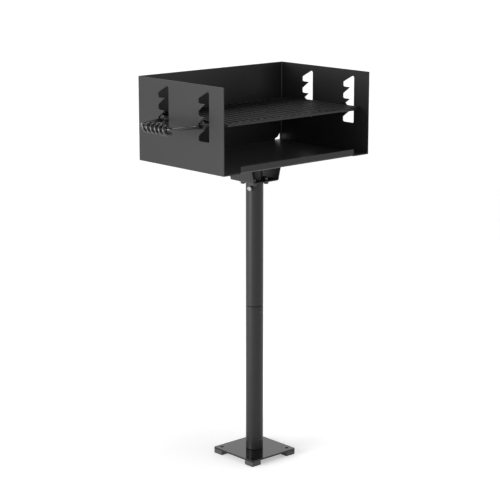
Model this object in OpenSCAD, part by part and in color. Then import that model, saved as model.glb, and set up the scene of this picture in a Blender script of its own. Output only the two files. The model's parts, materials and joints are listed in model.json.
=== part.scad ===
// Park grill on a pedestal post: a fixed stand, a firebox that swivels on the post,
// a cooking grate that lifts between four notches, and a loose coil grip on its handle.
// Millimetres, +Z up. The origin is on the post's axis at the level of the ground,
// the open front of the firebox faces -Y and the handle is on -X.

/* [Base] */
// Side of the square base plate
plate_w = 178; // [150:1:240]
// Thickness of the base plate
plate_t = 5; // [3:0.5:8]
// Radius of the base plate's corners
plate_corner_r = 3; // [1:0.5:8]
// Side of a square rubber foot
foot_w = 36; // [30:1:44]
// Height of a rubber foot
foot_h = 14; // [8:0.5:20]
// Radius of a foot's upright edges
foot_edge_r = 3; // [1:0.5:6]
// Diameter of the anchor holes through the plate and the feet
anchor_d = 11; // [8:0.5:14]

/* [Post] */
// Outer diameter of both post tubes
post_d = 53; // [44:0.1:54]
// Wall of the post tubes
post_wall = 2.8; // [2:0.1:4]
// Length of the lower post tube
lower_post_h = 457; // [300:1:700]
// Length of the upper post tube
upper_post_h = 381; // [300:1:600]
// Chamfer on the outer rims of the post tubes
post_chamfer = 1.5; // [0.5:0.1:1.8]
// Wall of the tubes inside the post
inner_wall = 3; // [2:0.1:4]
// Radial clearance of the two fixed inner tubes
inner_gap = 0.2; // [0.1:0.05:0.4]
// Height of the stub tube on the base plate
stub_h = 70; // [50:1:120]
// Length of the coupler inside the post joint
coupler_l = 120; // [80:1:200]
// Height of the lower screw above the base plate
base_screw_z = 32; // [20:1:40]
// Distance of the upper screw below the post joint
joint_screw_drop = 16; // [10:1:30]

/* [Swivel] */
// Radial clearance of the swivel tube in the post
swivel_gap = 0.1; // [0.05:0.05:0.3]
// Wall of the swivel tube
swivel_wall = 3; // [2:0.1:4]
// Length of the swivel tube below its flange
swivel_depth = 90; // [60:1:150]
// Vertical clearance between the flange and the post's top
bearing_gap = 0.3; // [0.2:0.1:0.6]
// Side of the square flange on the swivel tube
flange_w = 70; // [68:1:76]
// Thickness of the flange
flange_t = 4; // [3:0.5:6]
// Radius of the flange's corners
flange_corner_r = 6; // [2:0.5:10]
// Spacing of the four saddle bolts
bolt_spacing = 49; // [48:0.5:51]
// Drop of the locking bolt's axis below the post's top
lock_drop = 15.5; // [15:0.5:30]
// Turn of the locking bolt from the left side towards the front, in degrees
lock_turn = 24; // [0:1:60]
// Free shank of the locking bolt between its nut and its head
lock_reach = 1.5; // [0.5:0.5:6]

/* [Saddle] */
// Width of the saddle's floor
saddle_w = 100; // [90:1:110]
// Width across the saddle's open top
saddle_top_w = 133; // [115:1:150]
// Length of the saddle from front to rear
saddle_l = 102; // [90:1:120]
// Height of the saddle
saddle_h = 70; // [50:1:90]
// Thickness of the saddle's sheet
saddle_t = 3; // [2:0.5:4]
// Inner radius of the saddle's bends
saddle_bend_r = 3; // [2:0.5:5]

/* [Firebox] */
// Width of the firebox over its side walls
box_w = 578; // [480:1:700]
// Depth of the firebox
box_d = 381; // [350:1:460]
// Height of the firebox walls
box_h = 248; // [230:1:320]
// Thickness of the firebox sheet
sheet_t = 3; // [2:0.25:4]
// Inner radius of the firebox bends
bend_r = 4; // [2:0.5:8]
// Height of the floor's turned-up front lip
lip_h = 21; // [14:1:40]
// Gap between the lip's ends and the side walls
lip_gap = 60; // [30:1:90]
// Width of a drain hole in the back wall
drain_w = 30; // [16:1:40]
// Height of a drain hole
drain_h = 21.5; // [14:0.5:30]
// Radius of the drain hole's corners
drain_r = 1.8; // [1:0.2:4]
// Distance from a drain hole to the bend in the corner
drain_gap = 2; // [0:0.5:6]
// Place of the waist in the drain hole's slanted side, as a share of its width and height
drain_waist_share = 0.36; // [0.3:0.01:0.5]
// Radius of that waist
drain_waist_r = 14; // [4:1:20]

/* [Grate slots] */
// Number of notches in a slot
notches = 4; // [3:1:4]
// Notch that holds the grate, counted from the lowest
rest_notch = 2; // [1:1:3]
// Height between two notches
notch_pitch = 35.5; // [32:0.5:36]
// Width of the clear channel in front of the teeth
channel_w = 18; // [16:0.5:22]
// Length of a tooth's level shelf
shelf_l = 28.5; // [24:0.5:32]
// Height of a notch at its back
pocket_h = 14.5; // [13:0.5:18]
// Rise of the slot's top edge from the highest notch to the channel
peak_rise = 25; // [20:1:28]
// Distance from the wall's top edge down to the slot's top corner
slot_top_gap = 14; // [10:1:24]
// Distance from the wall's front edge to the front slot's channel
slot_front_gap = 61; // [55:1:75]
// Distance from the rear slot's notches to the back of the firebox
slot_rear_gap = 95.5; // [85:0.5:110]
// Radius where a shelf meets the back of its notch
pocket_r = 5; // [2:0.5:5]
// Radius at the slot's top corner
peak_r = 6; // [3:0.5:8]
// Radius of the slot's other open corners
slot_r = 3; // [1:0.5:4]
// Radius on the tip of a tooth
tip_r = 0.8; // [0.5:0.1:1.5]

/* [Grate and handle] */
// Diameter of the long handle rod and of the two frame rods
rod_d = 10; // [8:0.5:11]
// Diameter of a grate bar
bar_d = 8; // [6:0.5:10]
// Number of grate bars
bar_count = 20; // [14:1:22]
// Clear gap between the left wall and the grate's left end
grate_left_gap = 40; // [20:1:60]
// Clear gap between the right wall and the grate's right end
grate_right_gap = 3; // [3:0.5:20]
// Distance from the firebox's front edge to the front frame rod's axis
frame_front_gap = 36; // [30:1:45]
// Distance from the firebox's rear face to the rear frame rod's axis
frame_rear_gap = 34; // [30:1:50]
// Drop of the frame rods' axes below the bars' axes
frame_drop = 3; // [0:0.5:4]
// Distance of the outer bars' axes from the frame rods' ends
bar_inset = 6; // [6:0.5:12]
// Gap between the handle rod and the slot surfaces that it rests against
rest_gap = 0.3; // [0.3:0.1:0.5]
// Length of the handle's legs outside, from the left wall to the axis of the cross part
handle_l = 90; // [70:1:120]
// Bend radius of the handle's corners, at the rod's axis
handle_bend_r = 18; // [16:1:24]
// Length of the rod ends beyond the right wall
rod_end_out = 10; // [6:1:20]
// Outer diameter of the stop washers
washer_d = 38; // [28:1:40]
// Thickness of a stop washer
washer_t = 2.5; // [1.5:0.5:4]
// Gap between a stop washer and its wall
washer_gap = 0.5; // [0.3:0.1:1]

/* [Coil grip] */
// Diameter of the grip's wire
wire_d = 8; // [6:0.5:9]
// Clear bore of the grip
coil_bore = 20; // [19:0.5:24]
// Advance of the wire in one turn
coil_pitch = 18.8; // [16:0.2:24]
// Clearance above the rod that the grip hangs on
hang_gap = 0.7; // [0.6:0.1:1]
// Reach of the first turn past the start of the cross part's straight
coil_slip = 4; // [0:0.5:4]

/* [Hidden] */
bar_nodes = [for (i = [1 : bar_count]) bar_node(i)];

// Sides of the smooth round pieces
$fn = 48;
// Overrun of a cut past the faces that it opens
overrun = 1;
// Segments in each rounded corner of an outline
arc_steps = 6;

// Metric hex bolt: shank, width across flats, head and nut heights, and clearance hole
bolt_d = 8;
hex_flats = 13;
hex_head_h = 5.3;
hex_nut_h = 6.5;
bolt_hole_d = 9;
bolt_stub = 1;
thread_gap = 0.1;
end_chamfer = 1;
hex_d = hex_flats / cos(30);

// Button-head post screw with a hexagonal socket
screw_d = 5;
screw_head_d = 9;
screw_head_h = 3;
screw_rim_h = 0.8;
screw_hole_d = 5.4;
screw_length = 9;
socket_flats = 3;
socket_depth = 1.6;
socket_d = socket_flats / cos(30);

// Weld along the saddle's top edges
weld_leg = 4;
weld_inset = 6;

// Colours of the finishes
powder_black = [0.12, 0.12, 0.13];
powder_gloss = [0.20, 0.20, 0.21];
rubber_grey = [0.26, 0.26, 0.27];
zinc = [0.80, 0.81, 0.82];
dark_steel = [0.22, 0.22, 0.23];

// Heights of the stand
plate_z = foot_h;
post_z = plate_z + plate_t;
joint_z = post_z + lower_post_h;
post_top = joint_z + upper_post_h;
anchor_pos = plate_w / 2 - foot_w / 2;

// Radii of the post and of the tubes inside it
post_r = post_d / 2;
post_bore_r = post_r - post_wall;
inner_r = post_bore_r - inner_gap;
swivel_r = post_bore_r - swivel_gap;

// Heights of the head
flange_z = post_top + bearing_gap;
saddle_z = flange_z + flange_t;
box_z = saddle_z + saddle_h;
lock_z = post_top - lock_drop;
tube_hole_r = swivel_r + inner_gap;

// Firebox planes
box_left = -box_w / 2;
box_right = box_w / 2;
box_front = -box_d / 2;
box_rear = box_d / 2;
inner_left = box_left + sheet_t;
inner_right = box_right - sheet_t;
inner_rear = box_rear - sheet_t;

// Places of the slots and of the handle rod's two legs
slot_w = channel_w + shelf_l;
slot_top = box_z + box_h - slot_top_gap;
slot_low = slot_top - peak_rise - pocket_h - (notches - 1) * notch_pitch;
slot_front_y = box_front + slot_front_gap;
slot_rear_y = box_rear - slot_rear_gap - slot_w;
rod_r = rod_d / 2;
rod_z = slot_low + (rest_notch - 1) * notch_pitch + rod_r + rest_gap;
leg_front_y = slot_front_y + slot_w - rod_r - rest_gap;
leg_rear_y = slot_rear_y + slot_w - rod_r - rest_gap;
cross_x = box_left - handle_l;
rod_end_x = box_right + rod_end_out;

// Places of the grate's frame and bars
frame_left = inner_left + grate_left_gap;
frame_right = inner_right - grate_right_gap;
bar_z = rod_z + rod_r + bar_d / 2;
frame_z = bar_z - frame_drop;
frame_front_y = box_front + frame_front_gap;
frame_rear_y = box_rear - frame_rear_gap;
bar_pitch = (frame_right - frame_left - 2 * bar_inset) / (bar_count - 1);

// Coil grip: its axis hangs below the handle's cross part
coil_r = coil_bore / 2 + wire_d / 2;
coil_z = rod_z - (coil_bore / 2 - rod_r - hang_gap);
coil_room = leg_rear_y - leg_front_y - 2 * handle_bend_r - 2 * wire_d;
coil_turns = floor(coil_room / coil_pitch);
coil_y = leg_front_y + handle_bend_r - coil_slip;
// Angle of the front end round the coil's axis, from +X towards +Z
coil_end_turn = 352;
// Rings of the wire in one turn, and sides of the wire
coil_rings = 24;
coil_sides = 6;

function bar_node(i) = str("grate_bar_", i < 10 ? "0" : "", i);

function unit(v) = v / norm(v);

// Points of the arc of radius r that rounds the corner b between a and c
function corner_arc(a, b, c, r) =
    let (u = unit(a - b),
         w = unit(c - b),
         half = acos(u * w) / 2,
         centre = b + unit(u + w) * r / sin(half),
         p = b + u * r / tan(half) - centre,
         q = b + w * r / tan(half) - centre,
         start = atan2(p[1], p[0]),
         sweep = (atan2(q[1], q[0]) - start + 540) % 360 - 180)
    [for (i = [0 : arc_steps]) centre + r * [cos(start + sweep * i / arc_steps), sin(start + sweep * i / arc_steps)]];

// Closed outline with its corners rounded, each to its own radius
function rounded(points, radii) =
    let (n = len(points))
    [for (i = [0 : n - 1])
        each radii[i] > 0
            ? corner_arc(points[(i + n - 1) % n], points[i], points[(i + 1) % n], radii[i])
            : [points[i]]];

function rectangle(x0, y0, x1, y1) = [[x0, y0], [x1, y0], [x1, y1], [x0, y1]];

// Sawtooth slot, seen from the left: across from the channel's front edge, up from the lowest shelf
function slot_corners() = concat(
    [[0, 0], [slot_w, 0], [slot_w, pocket_h]],
    [for (k = [1 : notches - 1])
        each [[channel_w, k * notch_pitch],
              [slot_w, k * notch_pitch],
              [slot_w, k * notch_pitch + pocket_h]]],
    [[0, (notches - 1) * notch_pitch + pocket_h + peak_rise]]);

function slot_radii() = concat(
    [slot_r, pocket_r, slot_r],
    [for (k = [1 : notches - 1]) each [tip_r, pocket_r, slot_r]],
    [peak_r]);

module tube(outer_r, wall, h) {
    difference() {
        cylinder(r = outer_r, h = h);
        translate([0, 0, -overrun])
            cylinder(r = outer_r - wall, h = h + 2 * overrun);
    }
}

// Post tube with chamfered outer rims
module post_tube(h) {
    rotate_extrude()
        polygon([[post_bore_r, 0], [post_r - post_chamfer, 0], [post_r, post_chamfer],
                 [post_r, h - post_chamfer], [post_r - post_chamfer, h], [post_bore_r, h]]);
}

// Round rod along +Z with chamfered ends
module rod(d, h) {
    cylinder(d1 = d - 2 * end_chamfer, d2 = d, h = end_chamfer);
    translate([0, 0, end_chamfer])
        cylinder(d = d, h = h - 2 * end_chamfer);
    translate([0, 0, h - end_chamfer])
        cylinder(d1 = d, d2 = d - 2 * end_chamfer, h = end_chamfer);
}

// Hex bolt along +Z: the head's underside is at 0 and the shank points down
module hex_bolt(length) {
    cylinder(d = hex_d, h = hex_head_h, $fn = 6);
    translate([0, 0, end_chamfer - length])
        cylinder(d = bolt_d, h = length - end_chamfer);
    translate([0, 0, -length])
        cylinder(d1 = bolt_d - 2 * end_chamfer, d2 = bolt_d, h = end_chamfer);
}

module hex_nut(h) {
    difference() {
        cylinder(d = hex_d, h = h, $fn = 6);
        translate([0, 0, -overrun])
            cylinder(d = bolt_d + 2 * thread_gap, h = h + 2 * overrun);
    }
}

// Children at the four saddle bolts
module at_saddle_bolts() {
    for (x = [-1, 1], y = [-1, 1])
        translate([x * bolt_spacing / 2, y * bolt_spacing / 2, 0])
            children();
}

// Children with +Z turned towards the front of the post, at its axis
module towards_front(z) {
    translate([0, 0, z])
        rotate([90, 0, 0])
            children();
}

// Children with +Z turned out along the locking bolt's axis
module along_lock_bolt() {
    translate([0, 0, lock_z])
        rotate([0, 0, 180 + lock_turn])
            rotate([0, 90, 0])
                children();
}

// Hole through one wall of a post tube, towards the front
module front_hole(z, d) {
    towards_front(z)
        cylinder(d = d, h = post_r + overrun);
}

module base_plate() {
    color(powder_gloss)
        difference() {
            translate([0, 0, plate_z])
                linear_extrude(plate_t)
                    polygon(rounded(rectangle(-plate_w / 2, -plate_w / 2, plate_w / 2, plate_w / 2),
                                    [for (i = [1 : 4]) plate_corner_r]));
            for (x = [-1, 1], y = [-1, 1])
                translate([x * anchor_pos, y * anchor_pos, plate_z - overrun])
                    cylinder(d = anchor_d, h = plate_t + 2 * overrun);
        }
}

// Rubber foot under the corner in the directions side_x and side_y
module foot(side_x, side_y) {
    color(rubber_grey)
        translate([side_x * anchor_pos, side_y * anchor_pos, 0])
            difference() {
                linear_extrude(foot_h)
                    polygon(rounded(rectangle(-foot_w / 2, -foot_w / 2, foot_w / 2, foot_w / 2),
                                    [for (i = [1 : 4]) foot_edge_r]));
                translate([0, 0, -overrun])
                    cylinder(d = anchor_d, h = foot_h + 2 * overrun);
            }
}

module base_stub() {
    color(dark_steel)
        difference() {
            translate([0, 0, post_z])
                tube(inner_r, inner_wall, stub_h);
            front_hole(post_z + base_screw_z, screw_hole_d);
        }
}

module lower_post() {
    color(powder_black)
        difference() {
            translate([0, 0, post_z])
                post_tube(lower_post_h);
            front_hole(post_z + base_screw_z, screw_hole_d);
            front_hole(joint_z - joint_screw_drop, screw_hole_d);
        }
}

module post_coupler() {
    color(dark_steel)
        difference() {
            translate([0, 0, joint_z - coupler_l / 2])
                tube(inner_r, inner_wall, coupler_l);
            front_hole(joint_z - joint_screw_drop, screw_hole_d);
        }
}

module upper_post() {
    color(powder_black)
        difference() {
            translate([0, 0, joint_z])
                post_tube(upper_post_h);
            along_lock_bolt()
                cylinder(d = bolt_hole_d, h = post_r + overrun);
        }
}

// Button-head screw whose head seats at 0 and stands out along +Z
module post_screw() {
    difference() {
        rotate_extrude()
            polygon(concat([[0, 0], [screw_head_d / 2, 0], [screw_head_d / 2, screw_rim_h]],
                           [for (a = [15 : 15 : 90])
                               [screw_head_d / 2 * cos(a),
                                screw_rim_h + (screw_head_h - screw_rim_h) * sin(a)]]));
        translate([0, 0, screw_head_h - socket_depth])
            cylinder(d = socket_d, h = socket_depth + overrun, $fn = 6);
    }
    translate([0, 0, -screw_length])
        cylinder(d = screw_d, h = screw_length);
}

module post_screws() {
    color(dark_steel)
        for (z = [post_z + base_screw_z, joint_z - joint_screw_drop])
            towards_front(z)
                translate([0, 0, post_r])
                    post_screw();
}

// Nut welded to the post, with its inner face shaped to the tube
module lock_nut() {
    color(powder_black)
        difference() {
            along_lock_bolt()
                rotate([0, 0, 30])
                    translate([0, 0, post_r - post_wall])
                        hex_nut(post_wall + hex_nut_h);
            translate([0, 0, joint_z])
                cylinder(r = post_r, h = upper_post_h);
        }
}

module lock_bolt() {
    head_at = post_r + hex_nut_h + lock_reach;
    color(zinc)
        along_lock_bolt()
            rotate([0, 0, 30])
                translate([0, 0, head_at])
                    hex_bolt(head_at - swivel_r - rest_gap);
}

module swivel_tube() {
    color(powder_black)
        translate([0, 0, flange_z - swivel_depth])
            tube(swivel_r, swivel_wall, swivel_depth + flange_t + saddle_h);
}

module swivel_flange() {
    color(powder_black)
        translate([0, 0, flange_z])
            difference() {
                linear_extrude(flange_t)
                    polygon(rounded(rectangle(-flange_w / 2, -flange_w / 2, flange_w / 2, flange_w / 2),
                                    [for (i = [1 : 4]) flange_corner_r]));
                translate([0, 0, -overrun])
                    cylinder(r = tube_hole_r, h = flange_t + 2 * overrun);
                at_saddle_bolts()
                    translate([0, 0, -overrun])
                        cylinder(d = bolt_hole_d, h = flange_t + 2 * overrun);
            }
}

// Channel with sides that lean outwards, open at the front and the rear
module saddle() {
    lean_x = (saddle_top_w - saddle_w) / 2;
    side_x = saddle_t * norm([lean_x, saddle_h]) / saddle_h;
    foot_x = saddle_w / 2 + saddle_t * lean_x / saddle_h - side_x;
    outer_r = saddle_bend_r + saddle_t;
    color(powder_black)
        translate([0, 0, saddle_z])
            difference() {
                translate([0, saddle_l / 2, 0])
                    rotate([90, 0, 0])
                        linear_extrude(saddle_l)
                            polygon(rounded([[-saddle_top_w / 2, saddle_h], [-saddle_w / 2, 0],
                                             [saddle_w / 2, 0], [saddle_top_w / 2, saddle_h],
                                             [saddle_top_w / 2 - side_x, saddle_h], [foot_x, saddle_t],
                                             [-foot_x, saddle_t], [side_x - saddle_top_w / 2, saddle_h]],
                                            [0, outer_r, outer_r, 0, 0, saddle_bend_r, saddle_bend_r, 0]));
                translate([0, 0, -overrun])
                    cylinder(r = tube_hole_r, h = saddle_t + 2 * overrun);
                at_saddle_bolts()
                    translate([0, 0, -overrun])
                        cylinder(d = bolt_hole_d, h = saddle_t + 2 * overrun);
            }
}

module saddle_bolts() {
    color(zinc)
        translate([0, 0, saddle_z + saddle_t])
            at_saddle_bolts()
                hex_bolt(saddle_t + flange_t + hex_nut_h + bolt_stub);
}

module saddle_nuts() {
    color(dark_steel)
        translate([0, 0, flange_z - hex_nut_h])
            at_saddle_bolts()
                hex_nut(hex_nut_h);
}

// Fillet welds between the saddle's sides and the firebox floor
module saddle_welds() {
    lean_share = (saddle_top_w - saddle_w) / 2 / saddle_h;
    color(powder_black)
        for (side = [0, 1])
            mirror([side, 0, 0])
                translate([saddle_top_w / 2, saddle_l / 2 - weld_inset, box_z])
                    rotate([90, 0, 0])
                        linear_extrude(saddle_l - 2 * weld_inset)
                            polygon([[0, 0], [-weld_leg * lean_share, -weld_leg], [weld_leg, 0]]);
}

// Floor between the walls, with a lip bent up along the middle of its front edge
module floor_pan() {
    lip_left = inner_left + lip_gap;
    lip_l = inner_right - inner_left - 2 * lip_gap;
    outer_r = bend_r + sheet_t;
    color(powder_black)
        translate([0, box_front, box_z]) {
            difference() {
                linear_extrude(sheet_t)
                    polygon(rounded(rectangle(inner_left, 0, inner_right, box_d - sheet_t),
                                    [0, 0, bend_r, bend_r]));
                translate([lip_left, -overrun, -overrun])
                    cube([lip_l, outer_r + overrun, sheet_t + 2 * overrun]);
            }
            translate([lip_left, 0, 0])
                rotate([90, 0, 90])
                    linear_extrude(lip_l)
                        polygon(rounded([[0, lip_h], [0, 0], [outer_r + overrun, 0], [outer_r + overrun, sheet_t],
                                         [sheet_t, sheet_t], [sheet_t, lip_h]],
                                        [0, outer_r, 0, 0, bend_r, 0]));
        }
}

// Outline of the wrap seen from above: left wall, back wall and right wall in one strip
function wrap_outline() = rounded(
    [[box_left, box_front], [box_left, box_rear], [box_right, box_rear], [box_right, box_front],
     [inner_right, box_front], [inner_right, inner_rear], [inner_left, inner_rear], [inner_left, box_front]],
    [0, bend_r + sheet_t, bend_r + sheet_t, 0, 0, bend_r, bend_r, 0]);

// Slots through both side walls at once
module slot_cuts() {
    for (y = [slot_front_y, slot_rear_y])
        translate([box_left - overrun, y, slot_low])
            rotate([90, 0, 90])
                linear_extrude(box_w + 2 * overrun)
                    polygon(rounded(slot_corners(), slot_radii()));
}

// Corner drain holes at floor level
module drain_cuts() {
    corner_x = inner_right - bend_r - drain_gap;
    waist = [-drain_w, drain_h] * drain_waist_share;
    for (side = [0, 1])
        mirror([side, 0, 0])
            translate([corner_x, box_rear + overrun, box_z + sheet_t])
                rotate([90, 0, 0])
                    linear_extrude(sheet_t + 2 * overrun)
                        polygon(rounded([[-drain_w, 0], [0, 0], [0, drain_h], waist],
                                        [drain_r, drain_r, drain_r, drain_waist_r]));
}

module firebox_shell() {
    color(powder_black)
        difference() {
            translate([0, 0, box_z])
                linear_extrude(box_h)
                    polygon(wrap_outline());
            slot_cuts();
            drain_cuts();
        }
}

// Quarter bend of the handle rod about +Z, from +X towards +Y
module quarter_bend() {
    rotate_extrude(angle = 90)
        translate([handle_bend_r, 0])
            circle(d = rod_d);
}

// One rod bent into a long U: two legs through the firebox and a cross part outside it
module handle_rod() {
    bend_x = cross_x + handle_bend_r;
    color(powder_gloss)
        translate([0, 0, rod_z]) {
            for (y = [leg_front_y, leg_rear_y])
                translate([bend_x, y, 0])
                    rotate([0, 90, 0]) {
                        cylinder(d = rod_d, h = rod_end_x - bend_x - end_chamfer);
                        translate([0, 0, rod_end_x - bend_x - end_chamfer])
                            cylinder(d1 = rod_d, d2 = rod_d - 2 * end_chamfer, h = end_chamfer);
                    }
            translate([cross_x, leg_rear_y - handle_bend_r, 0])
                rotate([90, 0, 0])
                    cylinder(d = rod_d, h = leg_rear_y - leg_front_y - 2 * handle_bend_r);
            translate([bend_x, leg_front_y + handle_bend_r, 0])
                rotate([0, 0, 180])
                    quarter_bend();
            translate([bend_x, leg_rear_y - handle_bend_r, 0])
                rotate([0, 0, 90])
                    quarter_bend();
        }
}

// Stop washers on the legs, just inside each wall
module rod_washers() {
    color(powder_gloss)
        for (x = [inner_left + washer_gap, inner_right - washer_gap - washer_t], y = [leg_front_y, leg_rear_y])
            translate([x, y, rod_z])
                rotate([0, 90, 0])
                    difference() {
                        cylinder(d = washer_d, h = washer_t);
                        translate([0, 0, -overrun])
                            cylinder(d = rod_d + 2 * thread_gap, h = washer_t + 2 * overrun);
                    }
}

module frame_rod(y) {
    color(powder_gloss)
        translate([frame_left, y, frame_z])
            rotate([0, 90, 0])
                rod(rod_d, frame_right - frame_left);
}

// Bar that lies on the legs and butts against the frame rods, its ends shaped to them
module grate_bar(i) {
    color(powder_gloss)
        difference() {
            translate([frame_left + bar_inset + (i - 1) * bar_pitch, frame_rear_y, bar_z])
                rotate([90, 0, 0])
                    cylinder(d = bar_d, h = frame_rear_y - frame_front_y);
            for (y = [frame_front_y, frame_rear_y])
                translate([frame_left - overrun, y, frame_z])
                    rotate([0, 90, 0])
                        cylinder(d = rod_d, h = frame_right - frame_left + 2 * overrun);
        }
}

// Wire of the coil grip at t turns from its front end: place, direction and outward normal
function coil_angle(t) = coil_end_turn - 360 * t;
function coil_at(t) = [coil_r * cos(coil_angle(t)), coil_pitch * t, coil_r * sin(coil_angle(t))];
function coil_dir(t) =
    let (run = 2 * PI * coil_r)
    unit([run * sin(coil_angle(t)), coil_pitch, -run * cos(coil_angle(t))]);
function coil_out(t) = [cos(coil_angle(t)), 0, sin(coil_angle(t))];

// Ring of the wire round a place, square to its direction
function wire_ring(at, dir, out) =
    let (across = cross(dir, out))
    [for (k = [0 : coil_sides - 1])
        at + wire_d / 2 * (out * cos(360 * k / coil_sides) + across * sin(360 * k / coil_sides))];

// Faces of a closed tube of n rings, all triangles
function tube_faces(n, sides) = concat(
    [for (j = [0 : n - 2], k = [0 : sides - 1])
        let (a = j * sides + k, b = j * sides + (k + 1) % sides)
        each [[a, b, b + sides], [a, b + sides, a + sides]]],
    [for (k = [1 : sides - 2]) [0, k + 1, k]],
    [for (k = [1 : sides - 2]) [(n - 1) * sides, (n - 1) * sides + k, (n - 1) * sides + k + 1]]);

coil_steps = coil_turns * coil_rings;
coil_path = [for (i = [0 : coil_steps]) coil_at(i / coil_rings)];
// Least distance between the wire of neighbouring turns, measured on the path's points
coil_gap = min([for (i = [0 : coil_steps], j = [i + coil_rings / 2 : coil_steps])
    norm(coil_path[i] - coil_path[j])]) - wire_d;
echo(coil_grip_least_self_gap_mm = coil_gap, turns = coil_turns);

// Loose grip: one wire wound over the cross part, its ends straight for one wire diameter
module coil_grip() {
    front = wire_ring(coil_at(0) - wire_d * coil_dir(0), coil_dir(0), coil_out(0));
    rear = wire_ring(coil_at(coil_turns) + wire_d * coil_dir(coil_turns), coil_dir(coil_turns),
                     coil_out(coil_turns));
    wound = [for (i = [0 : coil_steps])
        each wire_ring(coil_at(i / coil_rings), coil_dir(i / coil_rings), coil_out(i / coil_rings))];
    color(powder_gloss)
        translate([cross_x, coil_y, coil_z])
            polyhedron(points = concat(front, wound, rear), faces = tube_faces(coil_steps + 3, coil_sides));
}

base_plate();
foot(-1, -1);  // foot_front_left
foot(1, -1);  // foot_front_right
foot(-1, 1);  // foot_rear_left
foot(1, 1);  // foot_rear_right
base_stub();
lower_post();
post_coupler();
upper_post();
post_screws();
lock_nut();
lock_bolt();
swivel_tube();
swivel_flange();
saddle();
saddle_bolts();
saddle_nuts();
saddle_welds();
floor_pan();
firebox_shell();
handle_rod();
rod_washers();
frame_rod(frame_front_y);  // grate_front_rod
frame_rod(frame_rear_y);  // grate_rear_rod
for (i = [1 : bar_count]) grate_bar(i);
coil_grip();
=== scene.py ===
# %% [markdown]
# # A park grill on a pedestal post
# The grill is folded sheet, tube, rod and wire, all coated black. The solids are already
# right in size and place, so this lesson is about what makes them look like steel that
# someone folded, welded and painted: soft edges, a real wound grip, weld beads, bolt heads
# with chamfers, and a few carefully different blacks.

# %% Load the solids
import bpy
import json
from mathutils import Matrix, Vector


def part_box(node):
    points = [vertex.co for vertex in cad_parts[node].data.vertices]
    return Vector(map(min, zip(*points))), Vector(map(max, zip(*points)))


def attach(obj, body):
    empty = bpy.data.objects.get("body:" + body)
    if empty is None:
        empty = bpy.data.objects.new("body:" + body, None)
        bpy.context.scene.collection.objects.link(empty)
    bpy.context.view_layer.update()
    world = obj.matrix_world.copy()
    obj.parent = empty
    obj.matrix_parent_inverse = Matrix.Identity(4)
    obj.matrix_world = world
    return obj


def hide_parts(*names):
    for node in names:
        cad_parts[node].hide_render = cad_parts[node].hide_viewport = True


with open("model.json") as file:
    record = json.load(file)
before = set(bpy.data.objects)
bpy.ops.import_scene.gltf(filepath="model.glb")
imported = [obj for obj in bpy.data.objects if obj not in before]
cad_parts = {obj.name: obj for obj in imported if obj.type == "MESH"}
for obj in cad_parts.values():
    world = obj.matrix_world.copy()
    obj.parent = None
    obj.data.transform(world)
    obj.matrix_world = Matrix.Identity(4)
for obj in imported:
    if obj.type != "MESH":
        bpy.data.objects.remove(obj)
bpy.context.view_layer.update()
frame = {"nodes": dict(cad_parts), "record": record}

import json
import math
import bmesh
import bpy
from mathutils import Matrix, Vector

MM = 0.001

# %% [markdown]
# ## The camera
# The photograph was taken from the front left, a little above the firebox, with a long lens
# from about five metres away. A long lens keeps the box's edges nearly parallel. The eye's
# place and its turn were worked out from the object's straight edges, so here they are plain
# numbers, and nothing has to be nudged by eye.

# %% Camera
EYE = Vector((-3.2286, -3.5526, 1.7401))
YAW = math.radians(42.10)
PITCH = math.radians(12.83)
LENS_MM = 117.44
SENSOR_MM = 36.0
SEES_TO_M = 200.0

camera_data = bpy.data.cameras.new("camera")
camera_data.lens = LENS_MM
camera_data.sensor_width = SENSOR_MM
camera_data.clip_end = SEES_TO_M
camera = bpy.data.objects.new("camera", camera_data)
bpy.context.scene.collection.objects.link(camera)
looking = Vector((
    math.sin(YAW) * math.cos(PITCH), math.cos(YAW) * math.cos(PITCH), -math.sin(PITCH)))
camera.location = EYE
camera.rotation_mode = "QUATERNION"
camera.rotation_quaternion = looking.to_track_quat("-Z", "Y")
bpy.context.scene.camera = camera
print("camera looks along", [round(c, 3) for c in looking])

# %% [markdown]
# ## Writing materials as sums
# A procedural material is a small piece of arithmetic: a noise, scaled, added to a number,
# and sent to a socket. Linking every Math node by hand hides that, so one class stands for a
# socket and knows how to add and multiply, and another stands for a whole graph and can make
# any other node in one line. The sky below is such a graph too.

# %% Sockets and graphs
class Wire:
    """An output socket that adds its Math nodes when it is used in an expression."""

    def __init__(self, tree, socket):
        self.tree = tree
        self.socket = socket

    def combine(self, operation, first, second):
        node = self.tree.nodes.new("ShaderNodeMath")
        node.operation = operation
        plug(self.tree, node.inputs[0], first)
        plug(self.tree, node.inputs[1], second)
        return Wire(self.tree, node.outputs[0])

    def __add__(self, other):
        return self.combine("ADD", self, other)

    def __radd__(self, other):
        return self.combine("ADD", other, self)

    def __sub__(self, other):
        return self.combine("SUBTRACT", self, other)

    def __mul__(self, other):
        return self.combine("MULTIPLY", self, other)

    def __rmul__(self, other):
        return self.combine("MULTIPLY", other, self)


def plug(tree, socket, value):
    """Links a Wire to the socket, or sets the socket's own number, colour or vector."""
    if isinstance(value, Wire):
        tree.links.new(value.socket, socket)
    else:
        socket.default_value = value


def find(sockets, key):
    """The socket with that identifier, or with that name where _ stands for a space."""
    for socket in sockets:
        if socket.identifier == key:
            return socket
    return sockets[key.replace("_", " ")]


def grey(value):
    """A neutral colour from one number."""
    return (value, value, value, 1.0)


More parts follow.
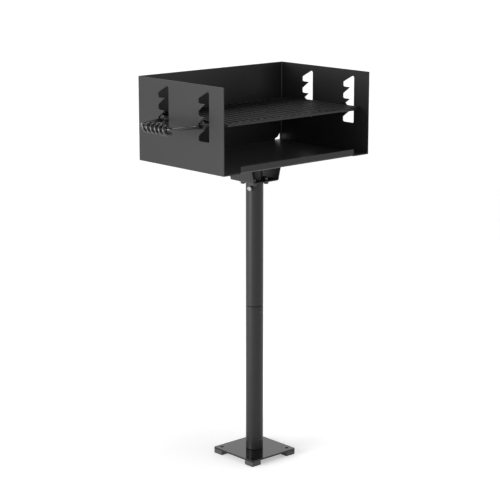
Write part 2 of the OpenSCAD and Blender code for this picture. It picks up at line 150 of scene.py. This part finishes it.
class Graph:
    """A node tree that is emptied and then built by calling node() for each step."""

    def __init__(self, tree):
        self.tree = tree
        tree.nodes.clear()

    def node(self, kind, settings=None, out="", **inputs):
        made = self.tree.nodes.new("ShaderNode" + kind)
        for key, value in (settings or {}).items():
            setattr(made, key, value)
        for key, value in inputs.items():
            plug(self.tree, find(made.inputs, key), value)
        return Wire(self.tree, find(made.outputs, out) if out else next(iter(made.outputs), None))

    def ease(self, value, low, high, at_low, at_high):
        """Goes smoothly from at_low to at_high while value goes from low to high."""
        return self.node("MapRange", {"interpolation_type": "SMOOTHSTEP"}, Value=value,
                         From_Min=low, From_Max=high, To_Min=at_low, To_Max=at_high)

    def along(self, vector, direction):
        """How far vector points along direction."""
        return self.node("VectorMath", {"operation": "DOT_PRODUCT"}, "Value",
                         Vector=vector, Vector_001=direction)


# %% [markdown]
# ## Light
# A black object shows almost nothing but reflections, so the light is built from large pale
# surfaces. The sky is a graph: bright near the horizon on the left and behind, darker
# overhead and in front. A large soft box on the left draws the bright stripe down the post
# and lifts the left wall, and a weaker one overhead reaches the grate and the floor of the
# firebox. Small hard lamps would only make white dots on a coat this dark.

# %% Sky and soft boxes
SKY_HORIZON = 1.50
SKY_OVERHEAD = 0.18
SKY_FRONT = 0.85
DARKENS_UPWARDS = (0.10, 0.80)
BRIGHT_SIDE = (-0.60, 0.80, 0.0)
BRIGHTENS_SIDEWAYS = (-0.9, 0.5)

world = bpy.data.worlds.new("studio")
bpy.context.scene.world = world
world.use_nodes = True
sky = Graph(world.node_tree)
ray = sky.node("TexCoord", out="Generated")
up = sky.along(ray, (0.0, 0.0, 1.0))
side = sky.along(ray, BRIGHT_SIDE)
upwards = sky.ease(up, *DARKENS_UPWARDS, SKY_HORIZON, SKY_OVERHEAD)
level = upwards * sky.ease(side, *BRIGHTENS_SIDEWAYS, SKY_FRONT, 1.0)
shade = sky.node("Background", Color=grey(1.0), Strength=level)
sky.node("OutputWorld", Surface=shade)


def soft_box(name, place, target, width, height, watts):
    """A rectangular lamp at place that faces target, all in metres."""
    data = bpy.data.lights.new(name, "AREA")
    data.shape = "RECTANGLE"
    data.size = width
    data.size_y = height
    data.energy = watts
    lamp = bpy.data.objects.new(name, data)
    bpy.context.scene.collection.objects.link(lamp)
    lamp.location = place
    lamp.rotation_mode = "QUATERNION"
    lamp.rotation_quaternion = (Vector(target) - Vector(place)).to_track_quat("-Z", "Y")


soft_box("left box", place=(-4.1, 0.9, 1.3), target=(0.0, 0.0, 0.9),
         width=2.2, height=2.0, watts=165.0)
soft_box("top box", place=(0.6, -0.5, 3.4), target=(-0.3, 0.0, 1.0),
         width=1.2, height=1.2, watts=26.0)
bpy.context.scene.view_settings.view_transform = "Standard"

# %% [markdown]
# ## Four blacks, a rubber and a zinc
# Powder coat is sprayed as dust and melts into a skin with a fine orange peel. On the sheet
# and the tubes it is satin. The base plate carries a smoother, glossier skin that mirrors
# the pale room, and the rods are between the two. All of them are the same recipe with
# other numbers: a dark colour with faint clouds, a roughness that drifts a little, and two
# sizes of bump, the peel and the long wave that a hand feels but hardly sees. Outside the
# left wall, where hands pull at the handle, the rod coat is rubbed to a shine. The feet are
# moulded rubber, the bolts are zinc plated, and the screws, the saddle's nuts and the tubes
# hidden in the post are plain blackened steel.

# %% A finish is a graph with a surface
NOISE_ROUGHNESS = 0.5


class Finish(Graph):
    """A material with the few helpers that every coat below needs."""

    def __init__(self, name):
        self.material = bpy.data.materials.new(name)
        self.material.use_nodes = True
        super().__init__(self.material.node_tree)

    def here(self):
        """The point on the object in metres, the same in every view and pose."""
        return self.node("TexCoord", out="Object")

    def noise(self, size_mm, detail):
        """A cloudy value round 0.5 whose blobs are about size_mm across."""
        return self.node("TexNoise", Vector=self.here(), Scale=1.0 / (size_mm * MM),
                         Detail=detail, Roughness=NOISE_ROUGHNESS)

    def blend(self, mask, first, second):
        """Colour first where mask is 0 and second where it is 1."""
        return self.node("Mix", {"data_type": "RGBA"}, "Result_Color",
                         Factor_Float=mask, A_Color=grey(first), B_Color=grey(second))

    def bump(self, height, depth_mm, **under):
        """Relief that is depth_mm deep; a finer one can lie under it as Normal."""
        return self.node("Bump", Height=height, Distance=depth_mm * MM, Strength=1.0, **under)

    def surface(self, **inputs):
        """Ends the graph in one shader and hands over the finished material."""
        self.node("OutputMaterial", Surface=self.node("BsdfPrincipled", **inputs))
        return self.material


# %% Coats
CLOUD_MM = 90.0
WAVE_MM = 14.0
MID_NOISE = 0.5
TO_THE_LEFT = (-1.0, 0.0, 0.0)
RUBBED_BEYOND_M = (0.288, 0.310)
RUBBED_ROUGHNESS = 0.16


def powder_coat(name, dark, light, roughness, drift, peel_mm, peel_depth_mm, wave_depth_mm,
                shine, rubbed=0.0):
    """Black powder coat; rubbed weighs the shine that hands give it outside the left wall."""
    coat = Finish(name)
    clouds = coat.noise(CLOUD_MM, detail=3.0)
    peel = coat.noise(peel_mm, detail=2.0)
    wave = coat.noise(WAVE_MM, detail=1.0)
    fine = coat.bump(peel, peel_depth_mm)
    slow = coat.bump(wave, wave_depth_mm, Normal=fine)
    leftwards = coat.along(coat.here(), TO_THE_LEFT)
    return coat.surface(
        Base_Color=coat.blend(clouds, dark, light),
        Roughness=roughness + drift * (clouds - MID_NOISE) + drift * (peel - MID_NOISE),
        Normal=slow,
        Specular_IOR_Level=shine,
        Coat_Weight=coat.ease(leftwards, *RUBBED_BEYOND_M, 0.0, rubbed),
        Coat_Roughness=RUBBED_ROUGHNESS,
    )


SATIN = powder_coat("satin powder coat", dark=0.0065, light=0.0090, roughness=0.42, drift=0.08,
                    peel_mm=1.6, peel_depth_mm=0.020, wave_depth_mm=0.030, shine=0.36)
GLOSS = powder_coat("gloss powder coat", dark=0.0060, light=0.0080, roughness=0.10, drift=0.05,
                    peel_mm=3.0, peel_depth_mm=0.004, wave_depth_mm=0.010, shine=0.36)
ROD = powder_coat("rod coat", dark=0.0060, light=0.0085, roughness=0.27, drift=0.08,
                  peel_mm=1.4, peel_depth_mm=0.012, wave_depth_mm=0.015, shine=0.38,
                  rubbed=0.65)
print("coats:", SATIN.name, GLOSS.name, ROD.name)

# %% Rubber, zinc and blackened steel
GRAIN_DEPTH_MM = 0.006


def moulded_rubber():
    rubber = Finish("moulded rubber")
    skin = rubber.noise(0.9, detail=3.0)
    dust = rubber.noise(22.0, detail=3.0)
    return rubber.surface(
        Base_Color=rubber.blend(dust, 0.030, 0.050),
        Roughness=0.72 + 0.16 * (dust - MID_NOISE),
        Normal=rubber.bump(skin, 0.05),
    )


def metal_skin(name, cloud_mm, dark, light, metallic, roughness, drift, grain_mm):
    """A thin metal skin with soft clouds and a fine grain."""
    metal = Finish(name)
    cloud = metal.noise(cloud_mm, detail=3.0)
    return metal.surface(
        Base_Color=metal.blend(cloud, dark, light),
        Metallic=metallic,
        Roughness=roughness + drift * (cloud - MID_NOISE),
        Normal=metal.bump(metal.noise(grain_mm, detail=2.0), GRAIN_DEPTH_MM),
    )


RUBBER = moulded_rubber()
ZINC = metal_skin("bright zinc", cloud_mm=3.0, dark=0.11, light=0.20, metallic=1.0,
                  roughness=0.34, drift=0.18, grain_mm=0.6)
BLACKENED = metal_skin("blackened steel", cloud_mm=2.5, dark=0.035, light=0.075,
                       metallic=0.85, roughness=0.38, drift=0.20, grain_mm=0.5)
print("others:", RUBBER.name, ZINC.name, BLACKENED.name)
FINISHES = {"powder_black": SATIN, "gloss_black": GLOSS, "rod_black": ROD,
            "rubber": RUBBER, "zinc": ZINC, "dark_steel": BLACKENED}

# %% [markdown]
# ## Dress the solids
# Every solid takes the finish that its record names. A solid that a better piece replaces
# below is dressed too, so nothing can show bare if a later step is skipped.

# %% Give each solid its finish
SLOT_OF = {part["node"]: part["material_slot"] for part in frame["record"]["subparts"]}
BODY_OF = {node: body
           for body, nodes in frame["record"]["behaviour"]["bodies"].items()
           for node in nodes}
for node, solid in frame["nodes"].items():
    solid.data.materials.clear()
    solid.data.materials.append(FINISHES[SLOT_OF[node]])
print("dressed", len(SLOT_OF), "solids")


# %% [markdown]
# ## From bmesh to piece
# Each new piece ends the same way: the bmesh becomes an object at the origin, gets its
# finish, rides on the body that its solid rides on, and hides the solid that it stands for.
# Weighted normals keep the large flat faces flat while their narrow bevels shade round.

# %% Finish a piece
ROUND_BELOW = math.radians(38.0)


def piece(name, bm, node, weighted=True, round_below=ROUND_BELOW):
    """An object made from bm that stands for a solid and has its body and its finish."""
    for face in bm.faces:
        face.smooth = True
    for edge in bm.edges:
        edge.smooth = edge.is_manifold and edge.calc_face_angle(0.0) < round_below
    mesh = bpy.data.meshes.new(name)
    bm.to_mesh(mesh)
    bm.free()
    if "custom_normal" in mesh.attributes:
        mesh.attributes.remove(mesh.attributes["custom_normal"])
    made = bpy.data.objects.new(name, mesh)
    bpy.context.scene.collection.objects.link(made)
    mesh.materials.clear()
    mesh.materials.append(FINISHES[SLOT_OF[node]])
    if weighted:
        normals = made.modifiers.new("flat faces stay flat", "WEIGHTED_NORMAL")
        normals.keep_sharp = True
    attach(made, BODY_OF[node])
    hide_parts(node)
    return made


# %% [markdown]
# ## Eased edges on sheet and plate
# A sheared or laser cut sheet has no knife edge: the coat rounds it to a few tenths of a
# millimetre, and that thin round line is what catches the light along the top of each wall.
# The solid is exact but sharp, so a copy of it is merged, its flat triangles are dissolved
# into whole faces, and only its sharp edges are bevelled.

# %% Copy a solid and ease its edges
MERGE_MM = 0.002
FLAT_WITHIN = math.radians(0.5)
SHARP_ABOVE = math.radians(30.0)


def ease_edges(bm, edges, ease_mm):
    """Rounds those edges with a bevel of two segments."""
    bmesh.ops.bevel(bm, geom=edges, offset=ease_mm * MM, offset_type="OFFSET", segments=2,
                    profile=0.5, affect="EDGES", clamp_overlap=True, material=-1)


def eased_copy(node, ease_mm):
    """A copy of a solid with whole flat faces and rounded edges."""
    bm = bmesh.new()
    bm.from_mesh(frame["nodes"][node].data)
    bmesh.ops.remove_doubles(bm, verts=bm.verts, dist=MERGE_MM * MM)
    bmesh.ops.dissolve_limit(bm, angle_limit=FLAT_WITHIN, verts=bm.verts, edges=bm.edges)
    sharp = [e for e in bm.edges if e.is_manifold and e.calc_face_angle(0.0) > SHARP_ABOVE]
    ease_edges(bm, sharp, ease_mm)
    return piece(node + "_eased", bm, node)


EASE_MM = {
    "firebox_shell": 0.5, "floor_pan": 0.5, "saddle": 0.5, "swivel_flange": 0.5,
    "base_plate": 0.6, "foot_front_left": 1.5, "foot_front_right": 1.5,
    "foot_rear_left": 1.5, "foot_rear_right": 1.5, "lower_post": 0.4, "upper_post": 0.4,
    "swivel_tube": 0.4, "post_screws": 0.15, "rod_washers": 0.4, "grate_front_rod": 0.6,
    "grate_rear_rod": 0.6}
EASE_MM |= {node: 0.6 for node in frame["nodes"] if node.startswith("grate_bar_")}
for node, ease in EASE_MM.items():
    eased_copy(node, ease)
print("eased", len(EASE_MM), "solids")

# %% [markdown]
# ## Bolts and nuts
# A hexagon head is cut from bar, and its corners are then turned down at 30 degrees, which
# leaves the round crown and the curved top edge on each flat. To get those curves the head is
# made from rings of 36 points: a ring is either turned to a circle or lies on the hexagon,
# and on the hexagon a point sits lower the further out it is. Each ring is an extrusion of
# the last one, so the whole head is a lathe job with one special step.

# %% Rings that are turned or lie on the hexagon
ACROSS_MM = 13.0
HEAD_MM = 5.3
NUT_MM = 6.5
BOLT_MM = 8.0
CROWN_MM = 0.94 * ACROSS_MM / 2
CORNER_FALL = math.tan(math.radians(30.0))
RING_POINTS = 36
HALF_SIDE_TURN = math.pi / 6
FASTENER_ROUND_BELOW = math.radians(24.0)


def to_hexagon(turn):
    """How far the hexagon's side is from its centre, in the direction turn."""
    off_middle = (turn + HALF_SIDE_TURN) % (2 * HALF_SIDE_TURN) - HALF_SIDE_TURN
    return ACROSS_MM / 2 / math.cos(off_middle)


def hexagon_rings(bm, steps):
    """Joined rings, and the first's and the last's edges.

    A step is a radius in mm, or None for the hexagon, then a height, then which way the
    corners fall: 1 down, -1 up and 0 not at all.
    """
    made = bmesh.ops.create_circle(bm, segments=RING_POINTS, radius=1.0)
    ring = made["verts"]
    edges = list({edge for vert in ring for edge in vert.link_edges})
    first = edges
    for number, (radius, height, fall) in enumerate(steps):
        if number:
            geom = bmesh.ops.extrude_edge_only(bm, edges=edges)["geom"]
            ring = [g for g in geom if isinstance(g, bmesh.types.BMVert)]
            near = {e for v in ring for e in v.link_edges}
            edges = [e for e in near if all(v in ring for v in e.verts)]
        for vert in ring:
            turn = math.atan2(vert.co.y, vert.co.x)
            reach = radius or to_hexagon(turn)
            drop = fall * (reach - CROWN_MM) * CORNER_FALL
            across = (reach * math.cos(turn), reach * math.sin(turn))
            vert.co = Vector((*across, height - drop)) * MM
    return first, edges


# %% A head, a nut and a threaded shank
COUNTERSINK_MM = 0.5
THREAD_PITCH_MM = 1.25
THREAD_DEPTH_MM = 0.6
THREAD_SLACK_MM = 0.05
CREST_FROM = 0.45
CREST_TO = 0.55
SHANK_CHAMFER_MM = 0.3
SHANK_STEPS = 24
SEAM_MM = 0.001


def hexagon_head(bm):
    steps = [(CROWN_MM, 0.0, 0), (None, 0.0, 0), (None, HEAD_MM, 1), (CROWN_MM, HEAD_MM, 0)]
    for edges in hexagon_rings(bm, steps):
        bmesh.ops.contextual_create(bm, geom=edges)


def hexagon_nut(bm, thick=NUT_MM):
    bore = BOLT_MM / 2
    mouth = bore + COUNTERSINK_MM
    first, last = hexagon_rings(bm, [
        (bore, COUNTERSINK_MM, 0), (mouth, 0.0, 0), (CROWN_MM, 0.0, 0), (None, 0.0, -1),
        (None, thick, 1), (CROWN_MM, thick, 0), (mouth, thick, 0),
        (bore, thick - COUNTERSINK_MM, 0)])
    bmesh.ops.bridge_loops(bm, edges=first + last)


def threaded_shank(bm, length):
    """A shank down from z = 0, grooved at each turn of the thread, with a chamfered tip."""
    outer = BOLT_MM / 2 - THREAD_SLACK_MM
    root = outer - THREAD_DEPTH_MM
    turns = int(length / THREAD_PITCH_MM - 0.5)
    tip = min(-length, -turns * THREAD_PITCH_MM)
    outline = [(0.0, 0.0), (root, 0.0)]
    for turn in range(turns):
        outline += [(outer, -(turn + CREST_FROM) * THREAD_PITCH_MM),
                    (outer, -(turn + CREST_TO) * THREAD_PITCH_MM),
                    (root, -(turn + 1) * THREAD_PITCH_MM)]
    outline += [(root - SHANK_CHAMFER_MM, tip), (0.0, tip)]
    verts = [bm.verts.new((radius * MM, 0.0, height * MM)) for radius, height in outline]
    edges = [bm.edges.new(pair) for pair in zip(verts, verts[1:])]
    bmesh.ops.spin(bm, geom=verts + edges, cent=(0.0, 0.0, 0.0), axis=(0.0, 0.0, 1.0),
                   dvec=(0.0, 0.0, 0.0), angle=2 * math.pi, steps=SHANK_STEPS,
                   use_merge=True, use_duplicate=False)
    bmesh.ops.remove_doubles(bm, verts=bm.verts, dist=SEAM_MM * MM)


# %% Put them in their places
def stamp(bm, build, places):
    """Builds the same thing once for each placing matrix."""
    for place in places:
        one = bmesh.new()
        build(one)
        bmesh.ops.recalc_face_normals(one, faces=one.faces)
        bmesh.ops.transform(one, matrix=place, verts=one.verts)
        mesh = bpy.data.meshes.new("stamp")
        one.to_mesh(mesh)
        one.free()
        bm.from_mesh(mesh)
        bpy.data.meshes.remove(mesh)


def saddle_bolt_places(node, at_top, drop_mm=0.0):
    """The four bolt axes of a node, at its box's top or bottom.

    The box ends at the outer hexagons' corners in x and at their flats in y.
    """
    low, high = (Vector(corner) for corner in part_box(node))
    reach_x = high.x - ACROSS_MM / math.sqrt(3) * MM
    reach_y = high.y - ACROSS_MM / 2 * MM
    height = (high.z if at_top else low.z) - drop_mm * MM
    return [Matrix.Translation((x, y, height))
            for x in (-reach_x, reach_x) for y in (-reach_y, reach_y)]


POST_R_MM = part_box("upper_post")[1][0] / MM
LOCK_TURN = math.radians(204.0)
LOCK_SHANK_MM = 13.0
LOCK_GAP_MM = 1.5
NUT_SINK_MM = 1.5
low, high = (Vector(corner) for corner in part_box("lock_bolt"))
LOCK_Z = (low.z + high.z) / 2


def lock_axis(out_mm):
    """A place on the lock bolt's axis, out_mm from the post's, with two flats level."""
    lift = Matrix.Translation((0.0, 0.0, LOCK_Z))
    lay = Matrix.Rotation(LOCK_TURN, 4, "Z") @ Matrix.Rotation(math.radians(90.0), 4, "Y")
    reach = Matrix.Translation((0.0, 0.0, out_mm * MM))
    return lift @ lay @ reach @ Matrix.Rotation(math.radians(30.0), 4, "Z")


def fastener(name, node, jobs):
    """One piece from several jobs, each a thing to build and the places to build it in."""
    bm = bmesh.new()
    for build, places in jobs:
        stamp(bm, build, places)
    return piece(name, bm, node, round_below=FASTENER_ROUND_BELOW)


low, high = (Vector(corner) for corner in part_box("saddle_bolts"))
shank_mm = (high.z - low.z) / MM - HEAD_MM
under_heads = saddle_bolt_places("saddle_bolts", True, HEAD_MM)
fastener("saddle_bolts_turned", "saddle_bolts", [
    (hexagon_head, under_heads),
    (lambda bm: threaded_shank(bm, shank_mm), under_heads),
])
fastener("saddle_nuts_turned", "saddle_nuts", [
    (hexagon_nut, saddle_bolt_places("saddle_nuts", False)),
])
under_lock_head = [lock_axis(POST_R_MM + NUT_MM + LOCK_GAP_MM)]
fastener("lock_bolt_turned", "lock_bolt", [
    (hexagon_head, under_lock_head),
    (lambda bm: threaded_shank(bm, LOCK_SHANK_MM), under_lock_head),
])
fastener("lock_nut_turned", "lock_nut", [
    (lambda bm: hexagon_nut(bm, NUT_MM + NUT_SINK_MM), [lock_axis(POST_R_MM - NUT_SINK_MM)]),
])
print("bolts and nuts turned, shank", round(shank_mm, 2), "mm")

# %% [markdown]
# ## The saddle's weld beads
# The saddle hangs from the firebox floor by a fillet weld along each side. A welder lays it
# as a row of small pools, each frozen over the last, so the bead is a rounded fillet with
# crescent ripples. A flat grid is wrapped round the corner between the two sheets, and along
# the seam it swells and falls back once per pool.

# %% Lay the beads
# The solid's leg, and the bead's own, which is shorter because its belly swells beyond it.
WELD_LEG_MM = 4.0
BEAD_LEG_MM = 3.3
POOL_MM = 2.6
ROWS_PER_POOL = 4
FACES_ROUND = 7
CRESCENT = 0.35
SWELL_LEAST = 0.06
SWELL_MORE = 0.09
ENDS_PER_BEAD = 14
SADDLE_LEAN = 0.236
RIPPLE_ROUND_BELOW = math.radians(60.0)


def weld_bead(bm, corner, side, start, end):
    """A rippled fillet along y in the corner at (x, z), drawn in to a point at both ends."""
    pools = round((end - start) / (POOL_MM * MM))
    sheet = bmesh.ops.create_grid(bm, x_segments=pools * ROWS_PER_POOL,
                                  y_segments=FACES_ROUND, size=1.0)
    for vert in sheet["verts"]:
        along = (vert.co.x + 1) / 2
        round_it = (vert.co.y + 1) / 2
        belly = math.sin(math.pi * round_it)
        pool = along * pools + CRESCENT * belly
        bulge = (SWELL_LEAST + SWELL_MORE * (1 - pool % 1.0)) * belly
        full = min(1.0, ENDS_PER_BEAD * along, ENDS_PER_BEAD * (1 - along))
        leg = BEAD_LEG_MM * MM * math.sqrt(full)
        across = leg * (1 - round_it + bulge)
        down = leg * (round_it + bulge)
        out = corner[0] + across - SADDLE_LEAN * down
        vert.co = (side * out, start + (end - start) * along, corner[1] - down)


def saddle_beads():
    low, high = (Vector(corner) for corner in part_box("saddle_welds"))
    bm = bmesh.new()
    for side in (-1, 1):
        weld_bead(bm, (high.x - WELD_LEG_MM * MM, high.z), side, low.y, high.y)
    bmesh.ops.recalc_face_normals(bm, faces=bm.faces)
    return piece("saddle_weld_beads", bm, "saddle_welds", weighted=False,
                 round_below=RIPPLE_ROUND_BELOW)


beads = saddle_beads()
print("beads:", len(beads.data.polygons), "faces")

# %% [markdown]
# ## The bent handle
# One rod runs in through the left wall, across the grate and out through the right wall,
# twice. Outside the left wall the two legs lean towards each other, so the cross part is no
# longer than the grip on it, and it droops a little under the grip's weight. Like the rod in
# the bending press, the ring of points is pushed straight on, swung round, and pushed on.

# %% Push and swing a ring of points along the rod
BEND_MM = 12.0
KNEE_MM = 8.0
CROSS_FRONT_MM = -68.0
CROSS_REAR_MM = 60.0
DROOP_MM = 1.2
ROD_SEGMENTS = 24
ROD_CHAMFER_MM = 1.0
DEGREES_PER_STEP = 5.0


def push(bm, edges, vec):
    """Extrudes a ring of edges along vec and gives the ring's new place."""
    made = bmesh.ops.extrude_edge_only(bm, edges=edges)["geom"]
    verts = {g for g in made if isinstance(g, bmesh.types.BMVert)}
    bmesh.ops.translate(bm, verts=list(verts), vec=vec)
    return [g for g in made
            if isinstance(g, bmesh.types.BMEdge) and all(v in verts for v in g.verts)]


def swing(bm, edges, centre, angle, steps):
    """Spins a ring of edges clockwise about an upright axis and gives the ring's new place."""
    verts = list({v for e in edges for v in e.verts})
    spun = bmesh.ops.spin(bm, geom=verts + edges, cent=centre, axis=(0.0, 0.0, 1.0),
                          dvec=(0.0, 0.0, 0.0), angle=-angle, steps=steps,
                          use_merge=False, use_duplicate=False)
    return [g for g in spun["geom_last"] if isinstance(g, bmesh.types.BMEdge)]


def bend_rod(bm, corners, rod_r):
    """Bends a rod through the corners and gives its two end rings; all of it is in mm."""
    ways = [(after - before).normalized() for before, after in zip(corners, corners[1:])]
    bends = [before.angle(after) for before, after in zip(ways, ways[1:])]
    cuts = [0.0] + [BEND_MM * math.tan(bend / 2) for bend in bends] + [0.0]
    ring = bmesh.ops.create_circle(bm, segments=ROD_SEGMENTS, radius=rod_r * MM)["verts"]
    bmesh.ops.rotate(bm, verts=ring, cent=(0.0, 0.0, 0.0),
                     matrix=Matrix.Rotation(math.pi / 2, 3, "Y"))
    bmesh.ops.translate(bm, verts=ring, vec=corners[0] * MM)
    first = edges = list(bm.edges)
    for number, way in enumerate(ways):
        run = (corners[number + 1] - corners[number]).length - cuts[number] - cuts[number + 1]
        edges = push(bm, edges, way * run * MM)
        if number < len(bends):
            to_centre = Vector((way.y, -way.x, 0.0)) * BEND_MM
            centre = corners[number + 1] - way * cuts[number + 1] + to_centre
            steps = math.ceil(math.degrees(bends[number]) / DEGREES_PER_STEP)
            edges = swing(bm, edges, centre * MM, bends[number], steps)
    print("the handle bends by", [round(math.degrees(bend), 1) for bend in bends], "degrees")
    return first, edges


def bent_handle():
    low, high = (Vector(corner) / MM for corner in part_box("handle_rod"))
    rod_r = (high.z - low.z) / 2
    front_y = low.y + rod_r
    rear_y = high.y - rod_r
    cross_x = low.x + rod_r
    wall_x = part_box("firebox_shell")[0][0] / MM
    knee_x = wall_x - KNEE_MM
    bm = bmesh.new()
    first, last = bend_rod(bm, [Vector((x, y, low.z + rod_r)) for x, y in (
        (high.x, front_y), (knee_x, front_y), (cross_x, CROSS_FRONT_MM),
        (cross_x, CROSS_REAR_MM), (knee_x, rear_y), (high.x, rear_y))], rod_r)
    for ends in (first, last):
        bmesh.ops.contextual_create(bm, geom=ends)
    bmesh.ops.recalc_face_normals(bm, faces=bm.faces)
    ease_edges(bm, first + last, ROD_CHAMFER_MM)
    for vert in bm.verts:
        outside = max(0.0, (wall_x - vert.co.x / MM) / (wall_x - cross_x))
        vert.co.z -= DROOP_MM * MM * outside
    return piece("handle_bent", bm, "handle_rod")


handle = bent_handle()
print("handle:", len(handle.data.polygons), "faces")

# %% [markdown]
# ## The coil grip
# The grip is one wire wound round a mandrel and slipped over the handle before it was bent,
# so it hangs loose and stays cool. Spin can wind it in one call: turn a ring of points about
# the grip's axis and move it along a little at each step. The ends are cut straight, so the
# last rings are pushed out along the wire and drawn in to a blunt tip. It is centred on the
# axis of the joint that it turns on, and its bore is wide enough to clear the rod all round.

# %% Wind the grip
WIRE_MM = 8.0
COIL_MM = 12.4
PITCH_MM = 18.2
TURNS = 5.4
STEPS_PER_TURN = 40
WIRE_SEGMENTS = 16
END_TURN = math.radians(300.0)
TAIL_MM = 5.0
TIP_MM = 1.2
# Each step at an end is how far to go along the wire and how much of the ring's size is left.
TIP_STEPS = ((TAIL_MM - TIP_MM, 1.0), (TIP_MM * 0.7, 0.86), (TIP_MM * 0.3, 0.6))
GRIP_START_MM = (-379.0, -60.0, 1055.8)


def wind_grip():
    bm = bmesh.new()
    ring = bmesh.ops.create_circle(bm, segments=WIRE_SEGMENTS, radius=WIRE_MM / 2 * MM)["verts"]
    bmesh.ops.translate(bm, verts=ring, vec=(COIL_MM * MM, 0.0, 0.0))
    bmesh.ops.rotate(bm, verts=ring, cent=(0.0, 0.0, 0.0),
                     matrix=Matrix.Rotation(-END_TURN, 3, "Y"))
    start_edges = list(bm.edges)
    wound = bmesh.ops.spin(bm, geom=ring + start_edges, cent=(0.0, 0.0, 0.0),
                           axis=(0.0, 1.0, 0.0), angle=2 * math.pi * TURNS,
                           dvec=(0.0, PITCH_MM / STEPS_PER_TURN * MM, 0.0),
                           steps=round(STEPS_PER_TURN * TURNS),
                           use_merge=False, use_duplicate=False)
    last_edges = [g for g in wound["geom_last"] if isinstance(g, bmesh.types.BMEdge)]
    rise = PITCH_MM / (2 * math.pi * COIL_MM)
    last_turn = END_TURN - 2 * math.pi * TURNS
    for edges, at, way in ((start_edges, END_TURN, -1.0), (last_edges, last_turn, 1.0)):
        along = Vector((math.sin(at), rise, -math.cos(at))).normalized() * way
        for reach, draw_in in TIP_STEPS:
            edges = push(bm, edges, along * reach * MM)
            verts = list({v for e in edges for v in e.verts})
            centre = sum((v.co for v in verts), Vector()) / len(verts)
            bmesh.ops.scale(bm, verts=verts, vec=(draw_in,) * 3,
                            space=Matrix.Translation(-centre))
        bmesh.ops.contextual_create(bm, geom=edges)
    bmesh.ops.recalc_face_normals(bm, faces=bm.faces)
    bmesh.ops.translate(bm, verts=bm.verts, vec=Vector(GRIP_START_MM) * MM)
    return piece("wound_grip", bm, "coil_grip", weighted=False)


grip = wind_grip()
print("grip:", len(grip.data.polygons), "faces")

# %% [markdown]
# ## The floor
# The object stands on a plain pale floor that is large enough to fill the picture. It glows
# a little, which is painted light, since the floor is no lamp. The glow is least under the
# object, a painted shadow where its shadow lies, and it grows with distance into a painted
# brightening far off.

# %% Floor
FLOOR_REACH_M = 60.0
NEAR_M = (0.05, 0.8)
FAR_M = (2.0, 9.0)
GLOW_IN_PAINTED_SHADOW = 0.38
GLOW_ROUND = 0.53
GLOW_FAR = 0.16


def pale_floor():
    paper = Finish("pale paper")
    far = paper.node("VectorMath", {"operation": "LENGTH"}, "Value", Vector=paper.here())
    # Painted light: the floor's glow is dimmed near the object as a painted shadow and raised far
    # away.
    glow_dimmed_as_painted_shadow = paper.ease(far, *NEAR_M, GLOW_IN_PAINTED_SHADOW, GLOW_ROUND)
    glow = glow_dimmed_as_painted_shadow + paper.ease(far, *FAR_M, 0.0, GLOW_FAR)
    cloud = paper.noise(400.0, detail=2.0)
    return paper.surface(Base_Color=paper.blend(cloud, 0.80, 0.82), Roughness=0.9,
                         Emission_Color=glow, Emission_Strength=1.0)


bm = bmesh.new()
bmesh.ops.create_grid(bm, x_segments=1, y_segments=1, size=FLOOR_REACH_M)
floor_mesh = bpy.data.meshes.new("studio floor")
bm.to_mesh(floor_mesh)
bm.free()
floor = bpy.data.objects.new("studio_floor", floor_mesh)
bpy.context.scene.collection.objects.link(floor)
floor_mesh.materials.append(pale_floor())
print("floor:", 2 * FLOOR_REACH_M, "m across")
